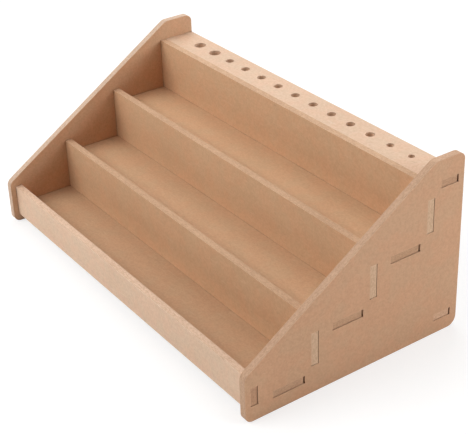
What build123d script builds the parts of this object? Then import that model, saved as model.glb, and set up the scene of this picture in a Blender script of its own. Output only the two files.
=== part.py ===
"""Three-tier paint and tool rack, made of flat fibreboard panels that tab into two sides.

Millimetres. X runs along the rack, Y from the front to the back, Z up. The origin is on
the table under the middle of the rack. Every panel is cut from one board thickness, and
its tabs come out through slots in the side panels.
"""

import os

from build123d import *

# Overall size
width = 364.0  # over the outer faces of the two sides
depth = 200.0  # front edge to back edge of a side
height = 150.0
sheet = 6.0  # board thickness of every panel
tiers = 3

# Outline of a side panel
front_edge_margin = 4.5  # upright front edge, above the front panel
ear_length = 28.0  # level top edge beside the brush rail
ear_rise = 17.0  # top edge of a side, above the brush rail
foot_front_radius = 6.0
foot_back_radius = 8.0
ear_back_radius = 6.0
ear_front_radius = 10.0
brow_radius = 8.0  # where the sloping edge meets the front edge

# Places of the inner panels
front_setback = 5.0  # front panel, behind the front edge of the sides
front_clearance = 7.0  # front panel, above the table
first_shelf_top = 17.5
front_lip = 17.0  # front panel, above the lowest shelf
riser_lip = 11.5  # riser, above the shelf behind it
rail_depth = 28.5
base_rail_setback = 2.5  # back edge of the base rail, in front of the brush rail's

# Tabs and the slots they sit in
shelf_tab = 27.0
riser_tab = 27.5
narrow_tab = 15.5  # front panel, brush rail and base rail
close_play = 0.2  # slot, below the tab of a level board, and behind and below the front panel's
level_end_play = 1.2  # slot, behind the tab of a level board
riser_play = 0.5  # slot, behind the tab of a riser
riser_end_play = 0.4  # the same, below it
relief_radius = 0.8  # round relief through each inner corner of a slot or notch
deep_recess = 0.6  # end of a tab, below the outer face of the side
riser_recess = 0.1  # the same for a riser

# Tabs under each riser, in notches in the back edge of its shelf
corner_tabs = 4
corner_tab = 30.0
corner_play = 0.4

# Row of holes in the brush rail
large_hole = 11.0
medium_hole = 8.0
fine_hole = 6.5
finest_hole = 5.5
hole_sizes = [large_hole] * 2 + [medium_hole] * 9 + [fine_hole, finest_hole]
first_hole_margin = 33.5  # centre of the first hole, from the left side
last_hole_margin = 36.0  # centre of the last hole, from the right side
hole_setback = 13.0  # centres, in front of the back edge of the rail

# Worked out
inner_width = width - 2 * sheet
relief_inset = relief_radius / 2**0.5
front_y = -depth / 2
back_y = depth / 2
rail_top = height - ear_rise
rail_front = back_y - rail_depth
tier_run = (depth - front_setback - sheet - rail_depth) / tiers
tier_rise = (rail_top - riser_lip - first_shelf_top) / tiers
front_panel_top = first_shelf_top + front_lip
front_edge = front_panel_top + front_edge_margin
hole_pitch = (inner_width - first_hole_margin - last_hole_margin) / (len(hole_sizes) - 1)


def upright_front(tier):
    """Front face of the front panel (0) or of a riser (1 to 3)."""
    return front_y + front_setback + tier * tier_run


def shelf_top(tier):
    return first_shelf_top + (tier - 1) * tier_rise


def riser_top(tier):
    return shelf_top(tier) + tier_rise + riser_lip


# A side tab is its middle (y, z), its size, and the play of its slot behind and below it.
def level_tab(front, back, top, length):
    """The tab of a level board, in the middle of its depth."""
    return ((front + back) / 2, top - sheet / 2), (length, sheet), (level_end_play, close_play)


def upright_tab(front, low, high, length, play):
    """The tab of an upright board, in the middle of its height."""
    return (front + sheet / 2, (low + high) / 2), (sheet, length), play


def shelf_side_tab(tier):
    front = upright_front(tier - 1) + sheet
    back = upright_front(tier) + sheet
    return level_tab(front, back, shelf_top(tier), shelf_tab)


def riser_side_tab(tier):
    low = shelf_top(tier) - sheet
    play = (riser_play, riser_end_play)
    return upright_tab(upright_front(tier), low, riser_top(tier), riser_tab, play)


front_side_tab = upright_tab(
    upright_front(0), front_clearance, front_panel_top, narrow_tab, (close_play, close_play)
)
rail_side_tab = level_tab(rail_front, back_y, rail_top, narrow_tab)
base_rail_back = back_y - base_rail_setback
base_rail_side_tab = level_tab(rail_front, base_rail_back, first_shelf_top, narrow_tab)


def all_side_tabs():
    tabs = [front_side_tab, rail_side_tab, base_rail_side_tab]
    for tier in range(1, tiers + 1):
        tabs += [shelf_side_tab(tier), riser_side_tab(tier)]
    return tabs


def corner_tab_places():
    """X of each tab under a riser, evenly spread along it."""
    spacing = inner_width / corner_tabs
    return [(place - (corner_tabs - 1) / 2) * spacing for place in range(corner_tabs)]


def cut_relieved(middle, size):
    """A rectangle cut from the sketch, with a round relief through each corner."""
    with Locations(middle):
        Rectangle(*size, mode=Mode.SUBTRACT)
        with GridLocations(size[0] - 2 * relief_inset, size[1] - 2 * relief_inset, 2, 2):
            Circle(relief_radius, mode=Mode.SUBTRACT)


def cut_slot(tab_middle, tab_size, play):
    """A slot that the tab fills from the front and the top."""
    (y, z), (along_y, along_z), (behind, below) = tab_middle, tab_size, play
    cut_relieved((y + behind / 2, z - below / 2), (along_y + behind, along_z + below))


def side_panel(inner_x, outward):
    """A side: sloping outline with a level ear at the back, and a slot for every tab."""
    with BuildPart() as panel:
        with BuildSketch(Plane.YZ.offset(inner_x)) as face:
            with BuildLine():
                Polyline(
                    (front_y, 0),
                    (back_y, 0),
                    (back_y, height),
                    (back_y - ear_length, height),
                    (front_y, front_edge),
                    close=True,
                )
            make_face()
            corners = {
                (front_y, 0): foot_front_radius,
                (back_y, 0): foot_back_radius,
                (back_y, height): ear_back_radius,
                (back_y - ear_length, height): ear_front_radius,
                (front_y, front_edge): brow_radius,
            }
            for corner, radius in corners.items():
                fillet(face.vertices().sort_by_distance(corner)[0], radius)
            for middle, size, play in all_side_tabs():
                cut_slot(middle, size, play)
        extrude(amount=outward * sheet)
    return panel.part


def draw_board(front, back, tab_middle, tab_length, recess=deep_recess):
    """Outline of a board from its front edge to its back edge, with a tab at each end."""
    with Locations((0, (front + back) / 2)):
        Rectangle(inner_width, back - front)
    with Locations((0, tab_middle)):
        Rectangle(inner_width + 2 * (sheet - recess), tab_length)


def front_panel():
    middle = front_side_tab[0][1]
    with BuildPart() as panel:
        with BuildSketch(Plane.XZ.offset(-upright_front(0))):
            draw_board(front_clearance, front_panel_top, middle, narrow_tab)
        extrude(amount=-sheet)
    return panel.part


def shelf(tier):
    """A shelf that reaches under its riser, notched at the back for the riser's tabs."""
    front = upright_front(tier - 1) + sheet
    back = upright_front(tier) + sheet
    with BuildPart() as panel:
        with BuildSketch(Plane.XY.offset(shelf_top(tier) - sheet)):
            draw_board(front, back, shelf_side_tab(tier)[0][0], shelf_tab)
            for x in corner_tab_places():
                cut_relieved((x, back), (corner_tab + corner_play, 2 * sheet + corner_play))
        extrude(amount=sheet)
    return panel.part


def riser(tier):
    """A riser that stands on its shelf, with tabs down through the shelf's back edge."""
    low = shelf_top(tier)
    with BuildPart() as panel:
        with BuildSketch(Plane.XZ.offset(-upright_front(tier))):
            draw_board(low, riser_top(tier), riser_side_tab(tier)[0][1], riser_tab, riser_recess)
            with Locations([(x, low - sheet / 2) for x in corner_tab_places()]):
                Rectangle(corner_tab, sheet)
        extrude(amount=-sheet)
    return panel.part


def brush_rail():
    """The holed rail, with its graded row of holes from large at the left to fine."""
    first_x = -inner_width / 2 + first_hole_margin
    with BuildPart() as rail:
        with BuildSketch(Plane.XY.offset(rail_top - sheet)):
            draw_board(rail_front, back_y, rail_side_tab[0][0], narrow_tab)
            for place, size in enumerate(hole_sizes):
                with Locations((first_x + place * hole_pitch, back_y - hole_setback)):
                    Circle(size / 2, mode=Mode.SUBTRACT)
        extrude(amount=sheet)
    return rail.part


def base_rail():
    """The strip low at the back that the ends of the brush handles stand on."""
    with BuildPart() as rail:
        with BuildSketch(Plane.XY.offset(first_shelf_top - sheet)):
            draw_board(rail_front, base_rail_back, base_rail_side_tab[0][0], narrow_tab)
        extrude(amount=sheet)
    return rail.part


pieces = {
    "left_side": side_panel(-inner_width / 2, -1),
    "right_side": side_panel(inner_width / 2, 1),
    "front_panel": front_panel(),
    "brush_rail": brush_rail(),
    "base_rail": base_rail(),
}
for tier, name in enumerate(["lower", "middle", "upper"], start=1):
    pieces[f"{name}_shelf"] = shelf(tier)
    pieces[f"{name}_riser"] = riser(tier)

os.makedirs("parts", exist_ok=True)
for name, piece in pieces.items():
    piece.label = name
    export_step(piece, f"parts/{name}.step")
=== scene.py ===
"""Looks for a three-tier fibreboard paint rack: board materials, floor, light and camera.

Metres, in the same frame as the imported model: X along the rack, Y front to back, Z up.
"""

import math

import bpy
from mathutils import Matrix, Vector


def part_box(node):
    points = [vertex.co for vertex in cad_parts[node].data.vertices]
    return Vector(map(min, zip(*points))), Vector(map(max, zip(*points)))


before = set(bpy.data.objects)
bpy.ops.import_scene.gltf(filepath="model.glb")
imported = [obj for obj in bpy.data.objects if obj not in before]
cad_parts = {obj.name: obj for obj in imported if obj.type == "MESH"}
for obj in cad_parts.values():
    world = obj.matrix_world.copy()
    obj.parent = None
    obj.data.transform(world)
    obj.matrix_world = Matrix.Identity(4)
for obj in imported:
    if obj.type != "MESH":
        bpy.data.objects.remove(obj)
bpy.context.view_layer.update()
scene = bpy.context.scene

MM = 0.001
WHITE = (1, 1, 1, 1)
BLACK = (0, 0, 0, 1)


# ---------------------------------------------------------------- node helpers
class Nodes:
    """Short calls that add and link shader nodes in one tree."""

    def __init__(self, tree):
        self.tree = tree
        tree.nodes.clear()

    def add(self, kind, values=None, **settings):
        """A new node. Each of values is a socket to link from, or the value of an input."""
        node = self.tree.nodes.new(kind)
        for key, value in settings.items():
            setattr(node, key, value)
        for key, value in (values or {}).items():
            if isinstance(value, bpy.types.NodeSocket):
                self.tree.links.new(value, node.inputs[key])
            else:
                node.inputs[key].default_value = value
        return node

    def math(self, operation, a, b=0.0):
        return self.add("ShaderNodeMath", {0: a, 1: b}, operation=operation).outputs[0]

    def vector(self, operation, a, b=(0, 0, 0)):
        node = self.add("ShaderNodeVectorMath", {0: a, 1: b}, operation=operation)
        is_number = operation in ("DOT_PRODUCT", "LENGTH")
        return node.outputs["Value" if is_number else "Vector"]

    def noise(self, at, scale, detail, roughness=0.5):
        """Noise from 0 to 1. Its scale is in spots per metre."""
        values = {"Vector": at, "Scale": scale, "Detail": detail, "Roughness": roughness}
        return self.add("ShaderNodeTexNoise", values).outputs["Fac"]

    def ramp(self, value, low, high, to_low=0.0, to_high=1.0):
        """to_low where value is low or less, to_high where it is high or more."""
        values = {"Value": value, "From Min": low, "From Max": high}
        values.update({"To Min": to_low, "To Max": to_high})
        node = self.add("ShaderNodeMapRange", values, interpolation_type="SMOOTHSTEP", clamp=True)
        return node.outputs["Result"]

    def mix(self, factor, a, b, blend="MIX"):
        # In the colour form of this node, inputs 6 and 7 and output 2 are the colours.
        values = {0: factor, 6: a, 7: b}
        node = self.add("ShaderNodeMix", values, data_type="RGBA", blend_type=blend)
        return node.outputs[2]

    def toned(self, colour, tone):
        """The colour times a tone of three factors."""
        return self.mix(1.0, colour, (*tone, 1.0), "MULTIPLY")

    def stretched(self, at, turn, squeeze):
        """Coordinates for short fibres: turned about all three axes, then squeezed."""
        values = {"Vector": at, "Rotation": turn, "Scale": squeeze}
        return self.add("ShaderNodeMapping", values).outputs["Vector"]

    def seen_directly(self):
        """1 for rays of the camera, gloss and glass, and 0 for rays that light the rack."""
        rays = self.add("ShaderNodeLightPath").outputs
        seen = self.math("MAXIMUM", rays["Is Camera Ray"], rays["Is Glossy Ray"])
        return self.math("MAXIMUM", seen, rays["Is Transmission Ray"])

    def output(self, kind, shader):
        """The output node of the given kind, fed by a shader node."""
        self.add(kind, {"Surface": shader.outputs[0]})


def by_axis(axis, through, along=1.0):
    """Three factors: one through the board's thickness, and one along its face."""
    return [through if i == axis else along for i in range(3)]


# ---------------------------------------------------------------- fibreboard
FACE_PALE = (0.676, 0.426, 0.268, 1)
FACE_DEEP = (0.599, 0.364, 0.220, 1)
CORE_PALE = (0.686, 0.453, 0.295, 1)
CORE_DEEP = (0.534, 0.326, 0.200, 1)
SKIN = (0.500, 0.300, 0.180, 1)  # outer layers of the thickness, on a cut edge
FIBRE_PALE = (0.800, 0.600, 0.430, 1)
DARK_FIBRE_AND_SHADE = (0.330, 0.190, 0.110, 1)
WORN_AND_HIGHLIGHT = (0.740, 0.520, 0.360, 1)

# Factors on the face colour
PATCH_RED = (1.018, 0.992, 0.985, 1)
PATCH_GREEN = (0.982, 1.008, 1.015, 1)

# Tones: factors on the colour of a whole board, of its cut edges, or of its tab ends, partly
# painted light and shade
PLAIN = (1.00, 1.00, 1.00)
RISER_EDGE = (0.96, 0.95, 0.99)
LEFT_TAB_PAINTED_LIGHT = (1.10, 1.15, 1.18)  # tab ends in the left side, on top of their own tone; painted light, paler like the left side

# Spots per metre, from broad to fine
CLOUD_SCALE = 14.0
PATCH_SCALE = 55.0
CUTTER_MARK_SCALE = 70.0
RUBBED_SCALE = 190.0
MOTTLE_SCALE = 260.0
FLECK_SCALE = 330.0
SPECKLE_SCALE = 560.0
GRIT_SCALE = 1500.0

# Shares of three patterns in the step from a deep to a pale colour
CLOUD_SHARE = 0.20
MOTTLE_SHARE = 0.35
SPECKLE_SHARE = 0.45

# How much thinner a pattern is through the board, and a cutter mark along it
MOTTLE_THINNESS = 4.5
SPECKLE_THINNESS = 2.0
CUTTER_MARK_THINNESS = 9.0

# Loose fibres in three directions: turn about the three axes in radians, and noise scale
FIBRE_RUNS = (
    ((0.4, 0.9, 0.2), 420.0),
    ((1.3, 0.2, 1.1), 360.0),
    ((0.7, 1.9, 2.3), 480.0),
)
FIBRE_SQUEEZE = (0.18, 1.6, 1.6)
FLECK_TURN = (2.1, 0.6, 0.8)
FLECK_SQUEEZE = (0.45, 1.5, 1.5)

WORN_HIGHLIGHT_REACH = 0.9 * MM  # from an arris
JOINT_REACH = 1.1 * MM  # from the corner between two boards
TAB_END_FADE = (0.2 * MM, 0.8 * MM)  # past the inner face of a side
ARRIS_WIDTH = 0.22 * MM
SHARP_ANGLE = math.radians(40)

# Height of the relief, and the parts of it that three patterns make
FACE_RELIEF = 0.05 * MM
EXTRA_CUT_RELIEF = 0.09 * MM
GRIT_PART = 0.5
FIBRE_PART = 0.6
CUTTER_MARK_PART = 0.9

FACE_ROUGHNESS = (0.66, 0.78)
EXTRA_CUT_ROUGHNESS = 0.12

# Each board's pattern starts at its own place, this far from that of the board before.
PATTERN_STEP = (0.37, 0.23, 0.71)

sides_inner_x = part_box("right_side")[0][0]


def loose_fibres(n, at):
    """Short fibres in three directions, from 0 to 1."""
    fibres = None
    for turn, scale in FIBRE_RUNS:
        streak = n.noise(n.stretched(at, turn, FIBRE_SQUEEZE), scale, 1.0, 0.4)
        fibres = streak if fibres is None else n.math("MAXIMUM", fibres, streak)
    return fibres


def with_tab_ends(n, colour, place, tab_end_light_and_shade):
    """The colour, with the tone of the tab ends past the inner faces of the two sides. This tone
    is partly painted light and shade: darker tab ends stand for the shade of their slot, paler
    ones for light on them.
    """
    for direction, lift in ((1, PLAIN), (-1, LEFT_TAB_PAINTED_LIGHT)):
        outward = n.vector("DOT_PRODUCT", place, (direction, 0, 0))
        end = n.toned(colour, [a * b for a, b in zip(tab_end_light_and_shade, lift)])
        start, full = (sides_inner_x + fade for fade in TAB_END_FADE)
        colour = n.mix(n.ramp(outward, start, full), colour, end)
    return colour


def relief_height(n, at, axis, cut, grit, fibres):
    """Faces are pressed nearly smooth. A cut edge shows loose fibre and faint cutter marks."""
    marks_at = n.vector("MULTIPLY", at, by_axis(axis, 1.0, CUTTER_MARK_THINNESS))
    marks = n.math("MULTIPLY", n.noise(marks_at, CUTTER_MARK_SCALE, 1.0), cut)
    relief = n.math("MULTIPLY", grit, GRIT_PART)
    relief = n.math("ADD", relief, n.math("MULTIPLY", fibres, FIBRE_PART))
    relief = n.math("ADD", relief, n.math("MULTIPLY", marks, CUTTER_MARK_PART))
    scale = n.math("ADD", n.math("MULTIPLY", cut, EXTRA_CUT_RELIEF), FACE_RELIEF)
    return n.math("MULTIPLY", relief, scale)


def fibreboard(name, axis, low, high, shift, board_tone_and_light, edge_tone_and_light, tab_end_light_and_shade):
    """Raw fibreboard. axis is the board's thickness; low and high are its two faces."""
    material = bpy.data.materials.new(name)
    material.use_nodes = True
    n = Nodes(material.node_tree)
    place = n.add("ShaderNodeTexCoord").outputs["Object"]
    at = n.vector("ADD", place, shift)
    normal = n.add("ShaderNodeNewGeometry").outputs["Normal"]
    through = by_axis(axis, 1.0, 0.0)

    # 1 on a cut edge and 0 on a face, then 0 in the middle of the thickness and 1 at a face.
    facing = n.math("ABSOLUTE", n.vector("DOT_PRODUCT", normal, through))
    cut = n.ramp(facing, 0.35, 0.80, 1.0, 0.0)
    depth = n.vector("DOT_PRODUCT", place, through)
    middle, half = (low + high) / 2, (high - low) / 2
    off_middle = n.math("DIVIDE", n.math("ABSOLUTE", n.math("SUBTRACT", depth, middle)), half)

    # Pressed fibres lie flat in the board, so fine patterns are thin through its thickness.
    layered = n.vector("MULTIPLY", at, by_axis(axis, MOTTLE_THINNESS))
    speckled = n.vector("MULTIPLY", at, by_axis(axis, SPECKLE_THINNESS))
    cloud = n.noise(at, CLOUD_SCALE, 3.0, 0.55)
    mottle = n.noise(layered, MOTTLE_SCALE, 4.0, 0.62)
    speckle = n.noise(speckled, SPECKLE_SCALE, 2.0, 0.55)
    grit = n.noise(layered, GRIT_SCALE, 2.0, 0.6)
    fibres = loose_fibres(n, at)
    fleck = n.noise(n.stretched(at, FLECK_TURN, FLECK_SQUEEZE), FLECK_SCALE, 2.0, 0.5)

    tint = n.math("MULTIPLY", cloud, CLOUD_SHARE)
    tint = n.math("ADD", tint, n.math("MULTIPLY", mottle, MOTTLE_SHARE))
    tint = n.math("ADD", tint, n.math("MULTIPLY", speckle, SPECKLE_SHARE))
    face = n.mix(n.ramp(tint, 0.37, 0.63), FACE_DEEP, FACE_PALE)
    # Broad patches, a little redder or greener.
    patch = n.ramp(n.noise(at, PATCH_SCALE, 2.0, 0.6), 0.38, 0.62)
    face = n.mix(1.0, face, n.mix(patch, PATCH_RED, PATCH_GREEN), "MULTIPLY")
    core = n.mix(n.ramp(tint, 0.38, 0.62), CORE_DEEP, CORE_PALE)
    core = n.mix(n.ramp(off_middle, 0.62, 1.0, 0.0, 0.55), core, SKIN)
    # The cut-edge tone is partly painted light, such as the pale, greyer edges of the left side.
    colour = n.mix(cut, face, n.toned(core, edge_tone_and_light))

    # Short loose fibres, pale and dark, and dark dust in the pits of the grit.
    colour = n.mix(n.ramp(fibres, 0.66, 0.78, 0.0, 0.16), colour, FIBRE_PALE)
    colour = n.mix(n.ramp(fleck, 0.67, 0.78, 0.0, 0.22), colour, DARK_FIBRE_AND_SHADE)
    colour = n.mix(n.ramp(grit, 0.30, 0.70), n.mix(0.05, colour, DARK_FIBRE_AND_SHADE), colour)

    # Worn, slightly furry arrises, paler also as a painted highlight along the edge.
    rounded = n.add("ShaderNodeBevel", {"Radius": WORN_HIGHLIGHT_REACH}, samples=6).outputs["Normal"]
    arris = n.ramp(n.vector("DOT_PRODUCT", rounded, normal), 0.80, 0.995, 1.0, 0.0)
    rubbed_highlight = n.ramp(n.noise(at, RUBBED_SCALE, 3.0, 0.6), 0.32, 0.62, 0.30, 0.95)
    colour = n.mix(n.math("MULTIPLY", arris, rubbed_highlight), colour, WORN_AND_HIGHLIGHT)
    # Painted light and shade: the board's tone makes the whole board paler or darker as light
    # falls on it.
    colour = n.toned(colour, board_tone_and_light)

    # A thin dark line of shade and dust where the faces of two boards meet.
    reach = {"Distance": JOINT_REACH}
    open_sky = n.add("ShaderNodeAmbientOcclusion", reach, samples=8).outputs["AO"]
    closed = n.ramp(open_sky, 0.45, 0.90, 0.55, 0.0)
    joint_shade = n.math("MULTIPLY", closed, n.math("SUBTRACT", 1.0, cut))
    colour = n.mix(joint_shade, colour, DARK_FIBRE_AND_SHADE)
    if tab_end_light_and_shade:
        colour = with_tab_ends(n, colour, place, tab_end_light_and_shade)

    rough = n.ramp(mottle, 0.3, 0.7, *FACE_ROUGHNESS)
    rough = n.math("ADD", rough, n.math("MULTIPLY", cut, EXTRA_CUT_ROUGHNESS))
    height = relief_height(n, at, axis, cut, grit, fibres)
    bump = n.add("ShaderNodeBump", {"Height": height, "Distance": 1.0, "Strength": 0.8})
    shader = n.add(
        "ShaderNodeBsdfPrincipled",
        {
            "Base Color": colour,
            "Roughness": rough,
            "Normal": bump.outputs["Normal"],
            "IOR": 1.48,
            "Sheen Weight": 0.12,
            "Sheen Roughness": 0.45,
            "Sheen Tint": (1.0, 0.93, 0.85, 1.0),
        },
    )
    n.output("ShaderNodeOutputMaterial", shader)
    return material


# Board: axis of its thickness, then the tones of the whole board, its cut edges and its tab ends.
# These tones are partly painted light and shade on one fibreboard: the front panel, brush rail
# and left side paler, the lower shelf and lower risers darker, and tab ends paler or darker as
# their slots shade them. The sides have no tabs.
BOARDS = {
    "left_side": (0, (1.08, 1.04, 1.00), (0.92, 1.05, 1.24), None),
    "right_side": (0, (0.97, 0.89, 0.83), (0.94, 0.99, 1.06), None),
    "front_panel": (1, (1.15, 1.27, 1.42), (0.94, 0.90, 0.88), (0.81, 0.66, 0.55)),
    "lower_riser": (1, (0.92, 0.89, 0.80), RISER_EDGE, (1.22, 1.30, 1.39)),
    "middle_riser": (1, (0.94, 0.91, 0.82), RISER_EDGE, (1.20, 1.28, 1.36)),
    "upper_riser": (1, (0.96, 0.93, 0.84), RISER_EDGE, (1.17, 1.25, 1.32)),
    "lower_shelf": (2, (0.79, 0.76, 0.69), PLAIN, (1.10, 1.04, 1.07)),
    "middle_shelf": (2, (0.87, 0.84, 0.76), PLAIN, (1.03, 0.96, 0.97)),
    "upper_shelf": (2, (0.92, 0.89, 0.80), PLAIN, (0.95, 0.89, 0.90)),
    "brush_rail": (2, (1.03, 1.12, 1.23), PLAIN, (0.84, 0.69, 0.58)),
    "base_rail": (2, (0.97, 0.95, 0.90), PLAIN, (1.16, 1.13, 1.17)),
}
for count, (name, (axis, *tones)) in enumerate(BOARDS.items()):
    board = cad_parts[name]
    low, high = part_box(name)
    shift = [step * count for step in PATTERN_STEP]
    material = fibreboard(f"fibreboard_{name}", axis, low[axis], high[axis], shift, *tones)
    board.data.materials.clear()
    board.data.materials.append(material)
    for polygon in board.data.polygons:
        polygon.material_index = 0
    soft = board.modifiers.new("arris", "BEVEL")
    soft.width = ARRIS_WIDTH
    soft.segments = 2
    soft.limit_method = "ANGLE"
    soft.angle_limit = SHARP_ANGLE
    soft.use_clamp_overlap = True
    soft.harden_normals = True


# ---------------------------------------------------------------- floor
FLOOR_SIZE = 12.0
FLOOR_GREY = (0.78, 0.78, 0.78, 1)
FLOOR_PALE_GREY = (0.80, 0.80, 0.80, 1)
FLOOR_GRAIN_SCALE = 40.0
SHADOW_FADE = (0.40, 1.10)  # distances from the middle of the rack
OWN_LIGHT_NEAR = 0.68  # the part of the white that no shadow darkens
SHADED_NEAR = 0.38  # grey level of the part that takes the shadow


def floor_material():
    """White with the rack's soft shadow where it is seen, and pale grey for other rays."""
    material = bpy.data.materials.new("floor")
    material.use_nodes = True
    n = Nodes(material.node_tree)
    place = n.add("ShaderNodeTexCoord").outputs["Object"]
    grey = n.mix(n.noise(place, FLOOR_GRAIN_SCALE, 3.0), FLOOR_GREY, FLOOR_PALE_GREY)
    # The shaded part fades out away from the rack.
    distance = n.vector("LENGTH", place)
    own_light = n.ramp(distance, *SHADOW_FADE, OWN_LIGHT_NEAR, 1.0)
    shaded = n.ramp(distance, *SHADOW_FADE, SHADED_NEAR, 0.0)
    plain = n.add("ShaderNodeBsdfDiffuse", {"Color": grey})
    white = n.add("ShaderNodeEmission", {"Color": WHITE, "Strength": own_light})
    veil = n.add("ShaderNodeBsdfDiffuse", {"Color": n.mix(shaded, BLACK, WHITE)})
    lit = n.add("ShaderNodeAddShader", {0: white.outputs[0], 1: veil.outputs[0]})
    shaders = {0: n.seen_directly(), 1: plain.outputs[0], 2: lit.outputs[0]}
    n.output("ShaderNodeOutputMaterial", n.add("ShaderNodeMixShader", shaders))
    return material


bpy.ops.mesh.primitive_grid_add(x_subdivisions=2, y_subdivisions=2, size=FLOOR_SIZE)
floor = bpy.context.active_object
floor.name = "floor"
floor.data.materials.append(floor_material())


# ---------------------------------------------------------------- light
LAMP_AIM = Vector((0, 0, 0.05))
SKY_FILL = 0.02  # faint even light on the rack from all round

# Soft lamp: place, width and height, power in watts.
LAMPS = {
    "key": ((-0.48, -1.21, 1.20), (1.2, 1.0), 21.0),
    "left": ((-1.20, -0.50, 1.10), (1.2, 1.0), 5.0),
    "overhead": ((-0.20, 0.50, 1.62), (1.4, 0.9), 9.5),
    "back_left": ((-1.10, 0.90, 0.90), (1.2, 0.9), 8.5),
    "back_right": ((1.10, 0.88, 0.60), (0.9, 0.6), 12.0),
}
for name, (spot, size, power) in LAMPS.items():
    lamp_data = bpy.data.lights.new(name, "AREA")
    lamp_data.shape = "RECTANGLE"
    lamp_data.size, lamp_data.size_y = size
    lamp_data.energy = power
    lamp = bpy.data.objects.new(name, lamp_data)
    scene.collection.objects.link(lamp)
    lamp.location = spot
    lamp.rotation_euler = (LAMP_AIM - Vector(spot)).to_track_quat("-Z", "Y").to_euler()

world = bpy.data.worlds.new("studio")
scene.world = world
world.use_nodes = True
sky = Nodes(world.node_tree)
# Plain white where the sky is seen, and the faint fill for the rays that light the rack.
strength = sky.ramp(sky.seen_directly(), 0.0, 1.0, SKY_FILL, 1.0)
background = sky.add("ShaderNodeBackground", {"Color": WHITE, "Strength": strength})
sky.output("ShaderNodeOutputWorld", background)


# ---------------------------------------------------------------- camera
CAMERA_PLACE = (0.74328, -0.48329, 0.56077)
CAMERA_RIGHT = Vector((0.576583, 0.816338, -0.033825))
CAMERA_BACK = Vector((0.724991, -0.492097, 0.481902))
SENSOR_WIDTH = 36.0

# In pixels of the picture
PICTURE_WIDTH = 468.0
MIDDLE_ROW = 217.0
LENS_AXIS_ROW = 190.0
FOCAL_LENGTH = 1241.35

back = CAMERA_BACK.normalized()
right = (CAMERA_RIGHT - back * CAMERA_RIGHT.dot(back)).normalized()
up = back.cross(right)
turn = Matrix((right, up, back)).transposed().to_4x4()
camera_data = bpy.data.cameras.new("camera")
camera_data.sensor_width = SENSOR_WIDTH
camera_data.lens = SENSOR_WIDTH * FOCAL_LENGTH / PICTURE_WIDTH
camera_data.shift_y = (LENS_AXIS_ROW - MIDDLE_ROW) / PICTURE_WIDTH
camera_data.clip_start, camera_data.clip_end = 0.01, 50.0
camera = bpy.data.objects.new("camera", camera_data)
scene.collection.objects.link(camera)
camera.matrix_world = Matrix.Translation(CAMERA_PLACE) @ turn
scene.camera = camera

scene.view_settings.view_transform = "Standard"
